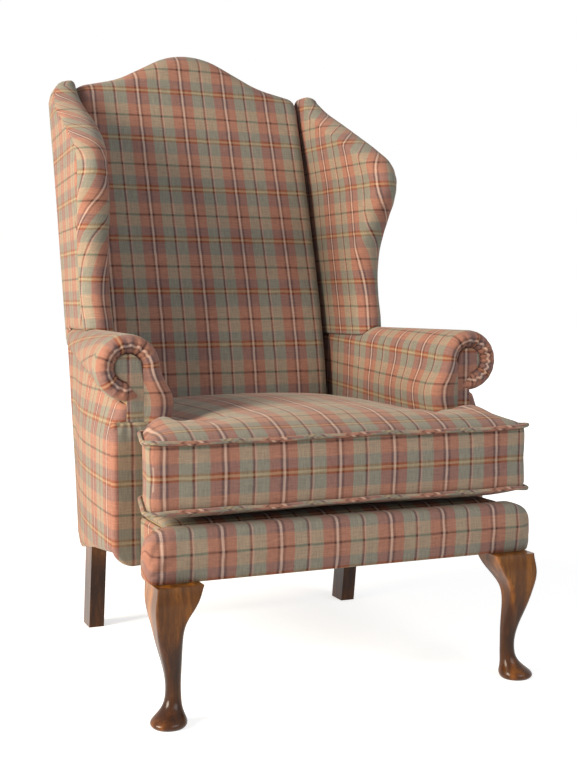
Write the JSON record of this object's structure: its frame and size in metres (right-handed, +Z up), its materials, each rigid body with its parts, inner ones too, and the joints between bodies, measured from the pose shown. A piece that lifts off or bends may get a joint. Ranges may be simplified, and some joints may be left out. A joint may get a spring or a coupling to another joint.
{
  "type": "fireside wing chair",
  "caption": "Upholstered fireside wing chair with scroll arms, camel-hump back, loose T-shaped piped seat cushion, cabriole front legs and raked rear legs.",
  "frame": {"origin": "on the floor, under the middle of the chair's bounding box", "axes": "+Z up, -Y is the front that the sitter faces, +X to the right as seen from the front"},
  "size_m": [0.71, 0.8724, 1.1175],
  "materials": {
    "black_cloth": "thin spunbonded cloth",
    "brass_zip": "small pressed part",
    "foam": "soft cushion filling",
    "jute": "coarse woven jute",
    "raw_beech": "sawn, unfinished",
    "spring_steel": "oiled wire",
    "stained_beech": "dark antique stain, polished",
    "tartan_wool": "soft woven wool in a checked sett",
    "zinc_steel": "zinc plated"
  },
  "bodies": {
    "frame": {"arm_facing_left": "tartan_wool", "arm_facing_right": "tartan_wool", "arm_rail_left": "raw_beech", "arm_rail_right": "raw_beech", "arm_stump_left": "raw_beech", "arm_stump_right": "raw_beech", "back_stay_rail": "raw_beech", "back_upright_left": "raw_beech", "back_upright_right": "raw_beech", "back_webbing": "jute", "border_returns": "tartan_wool", "bottom_cloth": "black_cloth", "corner_blocks": "raw_beech", "crest_rail": "raw_beech", "front_border": "tartan_wool", "front_leg_left": "stained_beech", "front_leg_right": "stained_beech", "front_post_cover_left": "tartan_wool", "front_post_cover_right": "tartan_wool", "front_seat_rail": "raw_beech", "inside_arm_left": "tartan_wool", "inside_arm_right": "tartan_wool", "inside_back": "tartan_wool", "inside_wing_left": "tartan_wool", "inside_wing_right": "tartan_wool", "leg_studs": "zinc_steel", "outside_arm_left": "tartan_wool", "outside_arm_right": "tartan_wool", "outside_back": "tartan_wool", "outside_wing_left": "tartan_wool", "outside_wing_right": "tartan_wool", "platform_pad": "tartan_wool", "rear_leg_left": "stained_beech", "rear_leg_right": "stained_beech", "rear_seat_rail": "raw_beech", "seat_springs": "spring_steel", "side_seat_rail_left": "raw_beech", "side_seat_rail_right": "raw_beech", "spring_clips": "zinc_steel", "spring_cover": "jute", "wing_board_left": "raw_beech", "wing_board_right": "raw_beech"},
    "cushion": {"cushion_cover": "tartan_wool", "cushion_filling": "foam", "cushion_piping_top": "tartan_wool", "cushion_piping_bottom": "tartan_wool", "cushion_zip_tape": "black_cloth"},
    "zip_slider": {"zip_slider": "brass_zip"}
  },
  "joints": [
    {"name": "cushion_lift", "type": "slide", "parent": "frame", "child": "cushion", "axis": [0, -0.7071, 0.7071], "range_m": [0, 0.75]},
    {"name": "zip_slide", "type": "slide", "parent": "cushion", "child": "zip_slider", "axis": [1, 0, 0], "range_m": [0, 0.36]}
  ]
}
